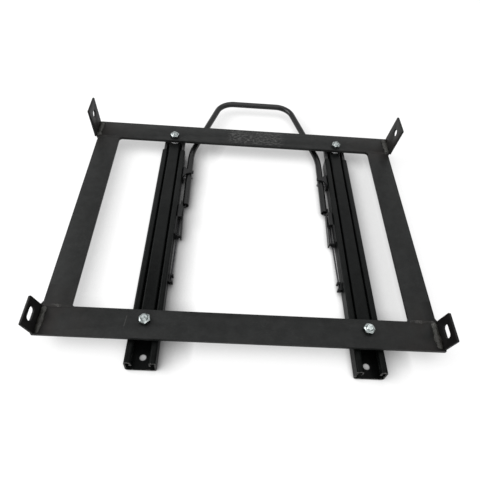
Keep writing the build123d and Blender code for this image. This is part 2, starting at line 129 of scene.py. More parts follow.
def mapRange(tree, value, low, high, toLow=0.0, toHigh=1.0):
    return feedAll(tree, addNode(tree, "ShaderNodeMapRange"), {
        "Value": value, "From Min": low, "From Max": high, "To Min": toLow, "To Max": toHigh,
    }).outputs["Result"]


def mixColour(tree, factor, first, second):
    node = addNode(tree, "ShaderNodeMix", data_type="RGBA")
    colours = [socket for socket in node.inputs if socket.type == "RGBA"]
    feed(tree, node.inputs["Factor"], factor)
    feed(tree, colours[0], first)
    feed(tree, colours[1], second)
    return [socket for socket in node.outputs if socket.type == "RGBA"][0]


def stretched(tree, where, scale):
    node = addNode(tree, "ShaderNodeMapping")
    return feedAll(tree, node, {"Vector": where, "Scale": scale}).outputs["Vector"]


def axes(tree, where):
    split = addNode(tree, "ShaderNodeSeparateXYZ")
    tree.links.new(where, split.inputs[0])
    return split.outputs


def noise(tree, where, cell, detail=3.0, roughness=0.55):
    return feedAll(tree, addNode(tree, "ShaderNodeTexNoise"), {
        "Vector": where, "Scale": 1 / cell, "Detail": detail, "Roughness": roughness,
    }).outputs["Fac"]


# Noise whose values within span are spread from toLow to toHigh
def cloudy(tree, where, cell, span, detail=3.0, roughness=0.55, toLow=0.0, toHigh=1.0):
    return mapRange(tree, noise(tree, where, cell, detail, roughness), *span, toLow, toHigh)


def newMaterial(name):
    material = bpy.data.materials.new(name)
    material.use_nodes = True
    tree = material.node_tree
    tree.nodes.clear()
    out = addNode(tree, "ShaderNodeOutputMaterial")
    shader = addNode(tree, "ShaderNodeBsdfPrincipled")
    tree.links.new(shader.outputs[0], out.inputs["Surface"])
    where = addNode(tree, "ShaderNodeTexCoord").outputs["Object"]
    return material, tree, shader, where


# Bump on a shader; a height of 1 stands a millimetre proud
def addBump(tree, shader, height, normal=None):
    bump = feedAll(tree, addNode(tree, "ShaderNodeBump"), {"Distance": mm, "Height": height})
    if normal:
        tree.links.new(normal, bump.inputs["Normal"])
    tree.links.new(bump.outputs[0], shader.inputs["Normal"])


# Contrasts and shares that all the black coats have in common
coat = {
    "cloudSpan": (0.32, 0.68), "mottleSpan": (0.35, 0.65), "speckleSpan": (0.3, 0.7),
    "cloudShare": 0.35, "mottleShare": 0.35, "speckleShare": 0.3,
    "lineCell": 10 * mm, "scratchFade": 0.06, "patchCell": 0.6, "patchSpan": (0.5, 0.62),
    "edgeSamples": 4, "edgeSpan": (0.985, 0.8), "wearCell": 6 * mm, "wearSpan": (0.4, 0.7),
    "cloudShine": 0.6, "lineShine": 0.4, "shineSpan": (0.2, 0.8),
}


# Normal rounded over the edges, and a mask of the edges from how far it turns
def softEdges(tree, radius):
    rounded = addNode(tree, "ShaderNodeBevel", samples=coat["edgeSamples"])
    rounded.inputs["Radius"].default_value = radius
    sharp = addNode(tree, "ShaderNodeNewGeometry").outputs["Normal"]
    facing = addNode(tree, "ShaderNodeVectorMath", operation="DOT_PRODUCT")
    tree.links.new(rounded.outputs[0], facing.inputs[0])
    tree.links.new(sharp, facing.inputs[1])
    return rounded.outputs[0], mapRange(tree, facing.outputs["Value"], *coat["edgeSpan"])


# Brown cast of the coat over the weld heat at the frame's four corners
def heatTint(tree, where, colour, heat):
    place = axes(tree, where)
    middleY = (seat["nearEdge"] + seat["farEdge"]) / 2
    across = away(tree, place["X"], seat["frameMiddle"])
    along = away(tree, place["Y"], middleY)
    atEnd = mapRange(tree, across, heat["fromX"], heat["toX"])
    atCorner = mapRange(tree, along, heat["fromY"], heat["toY"])
    cloud = cloudy(tree, where, heat["cell"], heat["span"], detail=4, roughness=0.6)
    factor = product(tree, atEnd, atCorner, cloud, heat["strength"])
    return mixColour(tree, factor, colour, heat["colour"])


# Painted shade: darker coat on the near tabs and the near bar's ends beside their welds
def paintTabShade(tree, where, colour, soot):
    place = axes(tree, where)
    across = away(tree, place["X"], seat["frameMiddle"])
    factor = product(tree, mapRange(tree, across, soot["fromX"], soot["toX"], 0, soot["strength"]),
                     mathNode(tree, "LESS_THAN", place["Y"], soot["nearY"]))
    return mixColour(tree, factor, colour, soot["colour"])


# Scuffed patch in the middle of the far bar
def rubbedPatch(tree, where, colour, patch):
    place = axes(tree, where)
    along = stretched(tree, where, patch["stretch"])
    factor = cloudy(tree, along, patch["cell"], patch["span"], detail=4, roughness=0.7,
                    toHigh=patch["strength"])
    for axis, middle, half in zip("XY", patch["middle"], patch["half"]):
        offset = away(tree, place[axis], middle)
        factor = product(tree, factor, mapRange(tree, offset, half + patch["fade"], half))
    return mixColour(tree, factor, colour, patch["colour"])


# One fine scratch across the near bar, left of its nut
def strayScratch(tree, where, colour, stray):
    place = axes(tree, where)
    (startX, startY), (endX, endY) = stray["start"], stray["end"]
    onLine = mapRange(tree, place["Y"], startY, endY, startX, endX)
    offset = away(tree, place["X"], onLine)
    factor = mapRange(tree, offset, stray["half"], 0, 0, stray["strength"])
    beside = product(tree, mathNode(tree, "LESS_THAN", place["Y"], startY),
                     mathNode(tree, "GREATER_THAN", place["Y"], endY))
    broken = cloudy(tree, where, stray["cell"], stray["span"], detail=2, roughness=0.6)
    factor = product(tree, factor, product(tree, beside, broken))
    return mixColour(tree, factor, colour, stray["colour"])


# Bare steel where the coat has chipped off the cut ends
def chipMask(tree, where, edge, chips):
    near = mapRange(tree, axes(tree, where)["Y"], chips["nearY"] + chips["reach"], chips["nearY"])
    spots = cloudy(tree, where, chips["cell"], (chips["from"], chips["from"] + chips["fade"]),
                   detail=3, roughness=0.7)
    thin = mathNode(tree, "ADD", product(tree, edge, chips["edge"]), chips["face"], clamp=True)
    return product(tree, near, spots, thin)


# Black coat on steel: slow clouds of tone, fine grain, drawn lines along the metal,
# rubbed edges, and the marks that a look names
def blackCoat(name, look):
    material, tree, shader, where = newMaterial(name)
    clouds = cloudy(tree, where, look["cloud"], coat["cloudSpan"], detail=4, roughness=0.6)
    mottle = cloudy(tree, where, look["mottle"], coat["mottleSpan"], detail=3, roughness=0.6)
    grain = noise(tree, where, look["grain"], detail=2, roughness=0.5)
    drawn = stretched(tree, where, look["lineScale"])
    lines = noise(tree, drawn, coat["lineCell"], detail=3, roughness=0.6)
    speckle = mapRange(tree, grain, *coat["speckleSpan"])
    tone = blend(tree, (clouds, coat["cloudShare"]), (mottle, coat["mottleShare"]),
                 (speckle, coat["speckleShare"]), clamp=True)
    colour = mixColour(tree, tone, look["dark"], look["light"])
    scratchFrom = look["scratchFrom"]
    scratches = mapRange(tree, lines, scratchFrom, scratchFrom + coat["scratchFade"])
    patches = cloudy(tree, where, look["cloud"] * coat["patchCell"], coat["patchSpan"], detail=2)
    scratches = product(tree, scratches, product(tree, patches, look["scratch"]))
    colour = mixColour(tree, scratches, colour, look["rubbed"])
    rounded, edge = softEdges(tree, look["edge"])
    worn = cloudy(tree, where, coat["wearCell"], coat["wearSpan"], detail=4, roughness=0.7)
    colour = mixColour(tree, product(tree, edge, worn, look["wear"]), colour, look["rubbed"])
    # The tab mark is painted shade; heat, patch and stray are real marks on the coat
    marks = {"heat": heatTint, "soot": paintTabShade, "patch": rubbedPatch, "stray": strayScratch}
    for mark, addMark in marks.items():
        if mark in look:
            colour = addMark(tree, where, colour, look[mark])
    if "chips" in look:
        bare = chipMask(tree, where, edge, look["chips"])
        colour = mixColour(tree, bare, colour, look["chips"]["steel"])
        feed(tree, shader.inputs["Metallic"], bare)
    feed(tree, shader.inputs["Base Color"], colour)
    shine = blend(tree, (clouds, coat["cloudShine"]), (lines, coat["lineShine"]))
    roughness = mapRange(tree, shine, *coat["shineSpan"], *look["roughness"])
    feed(tree, shader.inputs["Roughness"], roughness)
    sheen = look["specular"]
    # Painted shade: the sheen fades towards the near end, so the near half of a rail looks darker
    if "dull" in look:
        dull = look["dull"]
        along = axes(tree, where)["Y"]
        sheen = mapRange(tree, along, dull["fromY"], dull["toY"], sheen, dull["specular"])
    feed(tree, shader.inputs["Specular IOR Level"], sheen)
    height = blend(tree, (grain, look["grainDepth"]), (lines, look["lineDepth"]))
    addBump(tree, shader, height, rounded)
    return material


# Contrasts and shares that all the bare and plated metals have in common
bareMetal = {
    "cloudSpan": (0.3, 0.7), "lineCell": 10 * mm,
    "cloudShine": 0.5, "lineShine": 0.5, "shineSpan": (0.25, 0.75),
}


# Plated or plain steel with a tone that shifts over the surface
def plainMetal(name, look):
    material, tree, shader, where = newMaterial(name)
    clouds = cloudy(tree, where, look["cloud"], bareMetal["cloudSpan"], detail=4, roughness=0.6)
    drawn = stretched(tree, where, look["lineScale"])
    lines = noise(tree, drawn, bareMetal["lineCell"], detail=3, roughness=0.6)
    colour = mixColour(tree, clouds, look["dark"], look["light"])
    # Painted shade: darker towards the foot where the piece sits on the bar, broken up by a cloud
    if "grime" in look:
        grime = look["grime"]
        foot = mapRange(tree, axes(tree, where)["Z"], grime["high"], grime["low"])
        uneven = cloudy(tree, where, grime["cell"], grime["span"], detail=3, roughness=0.6,
                        toLow=grime["least"])
        colour = mixColour(tree, product(tree, foot, uneven), colour, grime["colour"])
    feed(tree, shader.inputs["Base Color"], colour)
    feed(tree, shader.inputs["Metallic"], look["metallic"])
    shine = blend(tree, (clouds, bareMetal["cloudShine"]), (lines, bareMetal["lineShine"]))
    roughness = mapRange(tree, shine, *bareMetal["shineSpan"], *look["roughness"])
    feed(tree, shader.inputs["Roughness"], roughness)
    addBump(tree, shader, product(tree, lines, look["lineDepth"]))
    return material


# Moulded black nylon
def mouldedPlastic(name, look):
    material, tree, shader, where = newMaterial(name)
    clouds = cloudy(tree, where, look["cloud"], look["cloudSpan"])
    grain = noise(tree, where, look["grain"], detail=2)
    feed(tree, shader.inputs["Base Color"], mixColour(tree, clouds, look["dark"], look["light"]))
    roughness = mapRange(tree, grain, *look["grainSpan"], *look["roughness"])
    feed(tree, shader.inputs["Roughness"], roughness)
    addBump(tree, shader, product(tree, grain, look["grainDepth"]))
    return material


frameLook = {
    "dark": (0.0035, 0.0039, 0.0038), "light": (0.017, 0.0178, 0.0175),
    "rubbed": (0.07, 0.07, 0.068), "cloud": 70 * mm, "mottle": 11 * mm,
    "grain": 1.4 * mm, "grainDepth": 0.06, "lineScale": (2.0, 30.0, 30.0), "lineDepth": 0.006,
    "scratchFrom": 0.62, "scratch": 0.35, "edge": 0.7 * mm, "wear": 0.5,
    "roughness": (0.42, 0.58), "specular": 0.14,
    "heat": {"fromX": 165 * mm, "toX": 225 * mm, "fromY": 120 * mm, "toY": 165 * mm,
             "cell": 30 * mm, "span": (0.35, 0.65), "strength": 0.55,
             "colour": (0.017, 0.013, 0.0115)},
    # Painted shade over the near tabs
    "soot": {"fromX": 231 * mm, "toX": 242 * mm, "nearY": -90 * mm, "strength": 0.85,
             "colour": (0.0025, 0.0023, 0.0022)},
    "patch": {"middle": (0, 219 * mm), "half": (40 * mm, 12 * mm), "fade": 10 * mm,
              "cell": 2.1 * mm, "stretch": (0.4, 1.0, 1.0), "span": (0.5, 0.6),
              "strength": 0.85, "colour": (0.085, 0.085, 0.083)},
    "stray": {"start": (-159 * mm, -129.5 * mm), "end": (-160.6 * mm, -146.5 * mm),
              "half": 0.55 * mm, "cell": 3 * mm, "span": (0.35, 0.55), "strength": 0.8,
              "colour": (0.075, 0.075, 0.074)},
}
railLook = {
    "dark": (0.001, 0.0013, 0.0012), "light": (0.0062, 0.0069, 0.0067),
    "rubbed": (0.04, 0.041, 0.039), "cloud": 50 * mm, "mottle": 10 * mm,
    "grain": 1.6 * mm, "grainDepth": 0.03, "lineScale": (30.0, 1.2, 30.0), "lineDepth": 0.012,
    "scratchFrom": 0.63, "scratch": 0.3, "edge": 0.35 * mm, "wear": 0.4,
    "roughness": (0.26, 0.42), "specular": 0.12,
    "chips": {"nearY": seat["railNearEnd"] - 0.1 * mm, "reach": 0.9 * mm, "cell": 4 * mm,
              "from": 0.46, "fade": 0.08, "edge": 1.0, "face": 0.1,
              "steel": (0.4, 0.39, 0.37)},
    # Painted shade: less sheen towards the near end
    "dull": {"fromY": 90 * mm, "toY": -166 * mm, "specular": 0.03},
}
tubeLook = {
    "dark": (0.0016, 0.0018, 0.0019), "light": (0.005, 0.0053, 0.0055),
    "rubbed": (0.04, 0.04, 0.04), "cloud": 50 * mm, "mottle": 8 * mm,
    "grain": 2 * mm, "grainDepth": 0.015, "lineScale": (8.0, 8.0, 8.0), "lineDepth": 0.01,
    "scratchFrom": 0.66, "scratch": 0.2, "edge": 0.3 * mm, "wear": 0.4,
    "roughness": (0.17, 0.3), "specular": 0.3,
}
bracketLook = {
    "dark": (0.0035, 0.0037, 0.0039), "light": (0.008, 0.0083, 0.0086),
    "rubbed": (0.055, 0.055, 0.055), "cloud": 20 * mm, "mottle": 6 * mm,
    "grain": 1.2 * mm, "grainDepth": 0.03, "lineScale": (6.0, 6.0, 6.0), "lineDepth": 0.01,
    "scratchFrom": 0.62, "scratch": 0.3, "edge": 0.35 * mm, "wear": 0.6,
    "roughness": (0.36, 0.55), "specular": 0.22,
}
latchLook = {**bracketLook, "roughness": (0.3, 0.48)}
beadLook = {
    **frameLook, "dark": (0.003, 0.003, 0.0026), "light": (0.042, 0.043, 0.037),
    "rubbed": (0.45, 0.45, 0.43), "mottle": 3.5 * mm, "edge": 0.3 * mm,
    "lineScale": (25.0, 25.0, 25.0), "scratchFrom": 0.58, "scratch": 0.9,
    "specular": 0.35, "roughness": (0.3, 0.5), "soot": {**frameLook["soot"], "strength": 0.0},
}
seamLook = {
    **frameLook, "dark": (0.004, 0.0042, 0.0041), "light": (0.022, 0.022, 0.021),
    "rubbed": (0.3, 0.3, 0.29), "cloud": 20 * mm, "mottle": 4 * mm, "edge": 0.2 * mm,
    "lineScale": (12.0, 40.0, 40.0), "scratchFrom": 0.55, "scratch": 0.8,
    "soot": {**frameLook["soot"], "strength": 0.0},
}
zincLook = {
    "dark": (0.1, 0.118, 0.115), "light": (0.5, 0.54, 0.535), "metallic": 1,
    "cloud": 2.8 * mm, "lineScale": (9.0, 9.0, 30.0), "lineDepth": 0.03,
    "roughness": (0.16, 0.34),
    # Painted shade at the nuts' foot, where they sit on the bar
    "grime": {"low": seat["barTop"] + 0.1 * mm, "high": seat["barTop"] + 4.5 * mm,
              "cell": 4 * mm, "span": (0.3, 0.7), "least": 0.4,
              "colour": (0.012, 0.013, 0.013)},
}
washerLook = {
    "dark": (0.7, 0.71, 0.72), "light": (0.92, 0.93, 0.94), "metallic": 0.4,
    "cloud": 6 * mm, "lineScale": (12.0, 12.0, 40.0), "lineDepth": 0.02,
    "roughness": (0.4, 0.55),
}
springLook = {
    "dark": (0.03, 0.03, 0.032), "light": (0.08, 0.08, 0.085), "metallic": 1,
    "cloud": 10 * mm, "lineScale": (20.0, 3.0, 20.0), "lineDepth": 0.02,
    "roughness": (0.3, 0.48),
}
pinLook = {
    "dark": (0.06, 0.06, 0.062), "light": (0.15, 0.15, 0.155), "metallic": 1,
    "cloud": 4 * mm, "lineScale": (30.0, 30.0, 30.0), "lineDepth": 0.02,
    "roughness": (0.3, 0.45),
}
ballLook = {
    "dark": (0.5, 0.5, 0.52), "light": (0.68, 0.68, 0.7), "metallic": 1,
    "cloud": 3 * mm, "lineScale": (10.0, 10.0, 10.0), "lineDepth": 0.002,
    "roughness": (0.08, 0.16),
}
retainerLook = {
    "dark": (0.3, 0.3, 0.31), "light": (0.5, 0.5, 0.51), "metallic": 1,
    "cloud": 8 * mm, "lineScale": (30.0, 2.0, 30.0), "lineDepth": 0.02,
    "roughness": (0.3, 0.45),
}
shoeLook = {
    "dark": (0.01, 0.01, 0.01), "light": (0.022, 0.022, 0.023),
    "cloud": 10 * mm, "cloudSpan": (0.35, 0.65), "grain": 0.8 * mm, "grainSpan": (0.3, 0.7),
    "grainDepth": 0.04, "roughness": (0.45, 0.6),
}
finishes = {
    "frame_coat": blackCoat("frameCoat", frameLook),
    "weld_bead": blackCoat("beadCoat", beadLook),
    "seam_bead": blackCoat("seamCoat", seamLook),
    "rail_coat": blackCoat("railCoat", railLook),
    "tube_coat": blackCoat("tubeCoat", tubeLook),
    "bracket_coat": blackCoat("bracketCoat", bracketLook),
    "latch_coat": blackCoat("latchCoat", latchLook),
    "bright_zinc": plainMetal("brightZinc", zincLook),
    "washer_zinc": plainMetal("washerZinc", washerLook),
    "spring_steel": plainMetal("springSteel", springLook),
    "pin_steel": plainMetal("pinSteel", pinLook),
    "ball_steel": plainMetal("ballSteel", ballLook),
    "retainer_steel": plainMetal("retainerSteel", retainerLook),
    "shoe_plastic": mouldedPlastic("shoePlastic", shoeLook),
}
print("materials made:", len(finishes))


# A new geometry tree with its named inputs
def newTree(name, inputs):
    tree = bpy.data.node_groups.new(name, "GeometryNodeTree")
    geometry = "NodeSocketGeometry"
    tree.interface.new_socket("Geometry", in_out="INPUT", socket_type=geometry)
    for label, kind in inputs.items():
        tree.interface.new_socket(label, in_out="INPUT", socket_type="NodeSocket" + kind)
    tree.interface.new_socket("Geometry", in_out="OUTPUT", socket_type=geometry)
    return tree, addNode(tree, "NodeGroupInput").outputs


# Ends a tree: instances made real, material set
def closeTree(tree, shape, material):
    real = addNode(tree, "GeometryNodeRealizeInstances")
    tree.links.new(shape, real.inputs[0])
    painted = feedAll(tree, addNode(tree, "GeometryNodeSetMaterial"),
                      {"Geometry": real.outputs[0], "Material": material})
    tree.links.new(painted.outputs[0], addNode(tree, "NodeGroupOutput").inputs[0])


def linked(name, data):
    piece = bpy.data.objects.new(name, data)
    scene.collection.objects.link(piece)
    return piece


# The plain mesh that an object's modifiers give; the object itself is removed
def flattened(source):
    bpy.context.view_layer.update()
    depsgraph = bpy.context.evaluated_depsgraph_get()
    mesh = bpy.data.meshes.new_from_object(source.evaluated_get(depsgraph))
    bpy.data.objects.remove(source)
    return mesh


# Runs a tree on an object, then any further modifiers, and keeps the plain mesh
def bake(name, source, tree, values, extra=()):
    modifier = source.modifiers.new("shape", "NODES")
    modifier.node_group = tree
    for item in tree.interface.items_tree:
        if item.in_out == "INPUT" and item.name in values:
            modifier[item.identifier] = values[item.name]
    for kind, settings in extra:
        added = source.modifiers.new(kind, kind)
        for key, value in settings.items():
            setattr(added, key, value)
    return linked(name, flattened(source))


# Poly lines as an edge mesh, one list of points a line, with a bend radius at each point
def lineMesh(name, lines, bends=None):
    points = [point for line in lines for point in line]
    edges = []
    first = 0
    for line in lines:
        edges += [(first + i, first + i + 1) for i in range(len(line) - 1)]
        first += len(line)
    mesh = bpy.data.meshes.new(name)
    mesh.from_pydata(points, edges, [])
    if bends:
        mesh.attributes.new("bend", "FLOAT", "POINT").data.foreach_set("value", bends)
    return linked(name, mesh)


# Circle that is swept along a path
def circleCurve(tree, around, radius):
    ring = addNode(tree, "GeometryNodeCurvePrimitiveCircle", mode="RADIUS")
    return feedAll(tree, ring, {"Resolution": around, "Radius": radius}).outputs[0]


def finishPiece(piece, slot, body, *replaced, smooth=30, finish=None):
    piece.data.materials.clear()
    piece.data.materials.append(finishes[finish or slot])
    for face in piece.data.polygons:
        face.material_index = 0
    piece.data.shade_smooth()
    piece.data.set_sharp_from_angle(angle=math.radians(smooth))
    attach(piece, body)
    if replaced:
        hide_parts(*replaced)
    return piece


# Release bar: one tube bent along its path
tube = {
    "radius": 5 * mm, "wall": 1.2 * mm, "offset": 10.8 * mm, "rise": 2.0,
    "rear": 58.1 * mm, "knee": 59.2 * mm, "reach": 195.1 * mm, "gripHalf": 61.8 * mm,
    "kneeBend": 100 * mm, "gripBend": 32 * mm, "pinHole": 2.05 * mm, "pinAround": 32,
    "around": 48, "perBend": 14,
}


def tubeTree(look):
    tree, given = newTree("bentTube", {"Radius": "Float", "Material": "Material"})
    path = addNode(tree, "GeometryNodeMeshToCurve")
    tree.links.new(given["Geometry"], path.inputs["Mesh"])
    bend = addNode(tree, "GeometryNodeInputNamedAttribute", data_type="FLOAT")
    bend.inputs["Name"].default_value = "bend"
    rounded = feedAll(tree, addNode(tree, "GeometryNodeFilletCurve", mode="POLY"), {
        "Curve": path.outputs[0], "Count": look["perBend"], "Radius": bend.outputs["Attribute"],
    })
    skin = feedAll(tree, addNode(tree, "GeometryNodeCurveToMesh"), {
        "Curve": rounded.outputs[0],
        "Profile Curve": circleCurve(tree, look["around"], given["Radius"]),
    })
    closeTree(tree, skin.outputs[0], given["Material"])
    return tree


# A rod across the whole seat, which cuts the holes of both pivot pins
def pinCutter(look):
    mesh = bpy.data.meshes.new("pinCutter")
    shape = bmesh.new()
    place = Matrix.Translation((0, seat["pivotY"], seat["pivotZ"]))
    radius = look["pinHole"]
    bmesh.ops.create_cone(shape, cap_ends=True, segments=look["pinAround"], radius1=radius,
                          radius2=radius, depth=seat["railSpacing"],
                          matrix=place @ Matrix.Rotation(math.radians(90), 4, "Y"))
    shape.to_mesh(mesh)
    shape.free()
    return linked("pinCutter", mesh)


def addReleaseBar(look):
    rise = math.radians(look["rise"])
    sideX = -seat["railSpacing"] / 2 + seat["railWidth"] / 2 + look["offset"]
    corners = [(sideX, -look["rear"]), (sideX, look["knee"]), (-look["gripHalf"], look["reach"])]
    corners += [(-x, y) for x, y in reversed(corners)]
    points = [(x, seat["pivotY"] + y * math.cos(rise), seat["pivotZ"] + y * math.sin(rise))
              for x, y in corners]
    bends = [0, look["kneeBend"], look["gripBend"], look["gripBend"], look["kneeBend"], 0]
    cutter = pinCutter(look)
    wall = {"thickness": look["wall"], "offset": -1.0, "use_even_offset": True}
    holes = {"operation": "DIFFERENCE", "object": cutter, "solver": "EXACT"}
    bar = bake("releaseBar", lineMesh("barPath", [points], bends), tubeTree(look),
               {"Radius": look["radius"], "Material": finishes["tube_coat"]},
               [("SOLIDIFY", wall), ("BOOLEAN", holes)])
    bpy.data.objects.remove(cutter)
    finishPiece(bar, "tube_coat", "handle", "release_bar")


addReleaseBar(tube)
print("release bar built")


# Nuts and bolts: turned rings with hexagon flats, set out on a grid of four
hardware = {
    "flats": 12.7 * mm, "nutHeight": 6.5 * mm, "headHeight": 5.3 * mm,
    "faceHeight": 0.5 * mm, "faceRadius": 5.8 * mm, "bore": 4.03 * mm, "boreLead": 0.7 * mm,
    "crownRadius": 5.2 * mm, "crownSlope": 36.0,
    "thread": 4 * mm, "pitch": 1.25 * mm, "threadDepth": 0.62 * mm, "threadShown": 2 * mm,
    "threadLead": 0.5 * mm, "rootFlat": 1.25, "flank": 2.5, "crestPlay": 0.01 * mm,
    "shankTop": 26 * mm, "shankPlay": 0.05 * mm, "shankLap": 1 * mm,
    "around": 96, "threadAround": 40, "rowsPerPitch": 6, "turn": 60.0, "seed": 4,
}


def hexRadius(angle, flats):
    side = math.radians(60)
    return flats / 2 / math.cos((angle % side) - side / 2)


# Skin over rows of rings; a row gives the radius and height at each angle
def latheMesh(name, rows, around, closedRing):
    mesh = bpy.data.meshes.new(name)
    shape = bmesh.new()
    grid = []
    for row in rows:
        ring = []
        for i in range(around):
            angle = 2 * math.pi * i / around
            radius, height = row(angle)
            point = (radius * math.cos(angle), radius * math.sin(angle), height)
            ring.append(shape.verts.new(point))
        grid.append(ring)
    pairs = list(zip(grid, grid[1:])) + ([(grid[-1], grid[0])] if closedRing else [])
    for lower, upper in pairs:
        for i in range(around):
            j = (i + 1) % around
            shape.faces.new((lower[i], lower[j], upper[j], upper[i]))
    if not closedRing:
        shape.faces.new(list(reversed(grid[0])))
        shape.faces.new(grid[-1])
    bmesh.ops.recalc_face_normals(shape, faces=shape.faces)
    shape.to_mesh(mesh)
    shape.free()
    return linked(name, mesh)


def ringAt(radius, height):
    return lambda angle: (radius, height)


# Hexagon ring at a face, its corners cut back by the crown; drop is 1 or -1 into the piece
def crowned(look, face, drop):
    slope = math.tan(math.radians(look["crownSlope"]))

    def row(angle):
        radius = hexRadius(angle, look["flats"])
        return radius, face + drop * max(0, radius - look["crownRadius"]) * slope
    return row


def nutMesh(look):
    low = seat["barTop"]
    high = low + look["nutHeight"]
    bore, lead, crown = look["bore"], look["boreLead"], look["crownRadius"]
    rows = [ringAt(bore, low + lead), ringAt(bore + lead, low), ringAt(crown, low),
            crowned(look, low, 1), crowned(look, high, -1),
            ringAt(crown, high), ringAt(bore + lead, high), ringAt(bore, high - lead)]
    return latheMesh("nutShape", rows, look["around"], True)


def headMesh(look, top):
    low = top - look["headHeight"]
    hexTop = top - look["faceHeight"]
    rows = [ringAt(look["crownRadius"], low), crowned(look, low, 1),
            lambda angle: (hexRadius(angle, look["flats"]), hexTop),
            ringAt(look["faceRadius"], hexTop), ringAt(look["faceRadius"], top),
            ringAt(look["thread"] - look["shankPlay"], top)]
    return latheMesh("headShape", rows, look["around"], False)


# One ring of the thread, deeper where the helix passes and narrower at its lead
def threadRow(look, height, end):
    def row(angle):
        turn = (height / look["pitch"] - angle / (2 * math.pi)) % 1
        share = min(1, max(0, look["rootFlat"] - look["flank"] * abs(turn - 0.5)))
        lead = max(0, height - (end - look["threadLead"]))
        groove = look["thread"] - look["crestPlay"] - look["threadDepth"] * share
        return min(groove, look["thread"] - lead), height
    return row


def shankMesh(look, headTop):
    end = seat["barTop"] + look["nutHeight"] + look["threadShown"]
    step = look["pitch"] / look["rowsPerPitch"]
    count = int((end - look["shankTop"]) / step)
    shank = look["thread"] - look["shankPlay"]
    rows = [ringAt(look["thread"] - look["threadDepth"], headTop - look["shankLap"]),
            ringAt(shank, headTop - look["shankLap"] / 2), ringAt(shank, look["shankTop"])]
    heights = [look["shankTop"] + step * i for i in range(1, count)] + [end]
    rows += [threadRow(look, height, end) for height in heights]
    return latheMesh("threadShape", rows, look["threadAround"], False)


# The same piece at the four corners of a grid, each turned by its own amount
def gridTree():
    tree, given = newTree("fourPlaces", {
        "Piece": "Object", "Across": "Float", "Along": "Float", "Middle": "Vector",
        "Seed": "Int", "Turn": "Float", "Material": "Material",
    })
    grid = feedAll(tree, addNode(tree, "GeometryNodeMeshGrid"), {
        "Vertices X": 2, "Vertices Y": 2, "Size X": given["Across"], "Size Y": given["Along"],
    })
    moved = feedAll(tree, addNode(tree, "GeometryNodeTransform"),
                    {"Geometry": grid.outputs["Mesh"], "Translation": given["Middle"]})
    piece = addNode(tree, "GeometryNodeObjectInfo")
    tree.links.new(given["Piece"], piece.inputs["Object"])
    chance = addNode(tree, "FunctionNodeRandomValue", data_type="FLOAT")
    ends = {socket.name: socket for socket in chance.inputs if socket.enabled}
    ends["Min"].default_value = 0
    tree.links.new(given["Turn"], ends["Max"])
    tree.links.new(given["Seed"], ends["Seed"])
    drawn = [socket for socket in chance.outputs if socket.enabled][0]
    turned = feedAll(tree, addNode(tree, "ShaderNodeCombineXYZ"), {"Z": drawn})
    euler = addNode(tree, "FunctionNodeEulerToRotation")
    tree.links.new(turned.outputs[0], euler.inputs[0])
    placed = feedAll(tree, addNode(tree, "GeometryNodeInstanceOnPoints"), {
        "Points": moved.outputs[0], "Instance": piece.outputs["Geometry"],
        "Rotation": euler.outputs[0],
    })
    closeTree(tree, placed.outputs[0], given["Material"])
    return tree


# One mesh of all the pieces, which are removed
def mergePieces(name, pieces):
    mesh = bpy.data.meshes.new(name)
    shape = bmesh.new()
    for piece in pieces:
        shape.from_mesh(piece.data)
        bpy.data.objects.remove(piece)
    shape.to_mesh(mesh)
    shape.free()
    return linked(name, mesh)


def addHardware(look):
    tree = gridTree()
    values = {"Across": seat["railSpacing"], "Along": seat["farBolt"] - seat["nearBolt"],
              "Middle": (0, (seat["farBolt"] + seat["nearBolt"]) / 2, 0),
              "Turn": math.radians(look["turn"]), "Material": finishes["bright_zinc"]}
    headTop = seat["railHeight"] - seat["railSheet"]
    sets = {"nuts": ("frame_nuts", look["seed"], [nutMesh(look)]),
            "bolts": ("frame_bolts", look["seed"] + 1,
                      [headMesh(look, headTop), shankMesh(look, headTop)])}
    for name, (replaced, seed, parts) in sets.items():
        baked = [bake(name, lineMesh(name + "Places", []), tree,
                      {**values, "Piece": part, "Seed": seed}) for part in parts]
        for part in parts:
            bpy.data.objects.remove(part)
        finishPiece(mergePieces(name, baked), "bright_zinc", "frame", replaced)


addHardware(hardware)
print("nuts and bolts built")


# Weld beads along their paths
beads = {
    "fillet": {"Width": 8.5 * mm, "Height": 2.2 * mm, "Step": 1.9 * mm, "Ripple": 0.25,
               "Wobble": 2.2, "Lump": 1.6 * mm, "Seed": 3.0, "Taper": 2.2 * mm},
    "ground": {"Width": 4.2 * mm, "Height": 0.28 * mm, "Step": 1.3 * mm, "Ripple": 0.12,
               "Wobble": 1.6, "Lump": 0.15 * mm, "Seed": 7.0, "Taper": 3 * mm},
    "spacing": 0.4 * mm, "around": 20, "rippleMiddle": 0.6, "fullness": 0.92, "endSize": 0.35,
    "wobbleScale": 90, "wobbleDetail": 2, "lumpScale": 420,
    "tabSheet": 3 * mm, "tabInset": 1.5 * mm, "tabLap": 0.4 * mm, "setback": 1.2 * mm,
    "seamInset": 0.5 * mm,
}


# Noise about zero that differs with the seed
def seededNoise(tree, seed, scale, detail=None):
    source = addNode(tree, "ShaderNodeTexNoise", noise_dimensions="4D")
    source.inputs["Scale"].default_value = scale
    if detail:
        source.inputs["Detail"].default_value = detail
    tree.links.new(seed, source.inputs["W"])
    return mathNode(tree, "SUBTRACT", source.outputs["Fac"], 0.5)


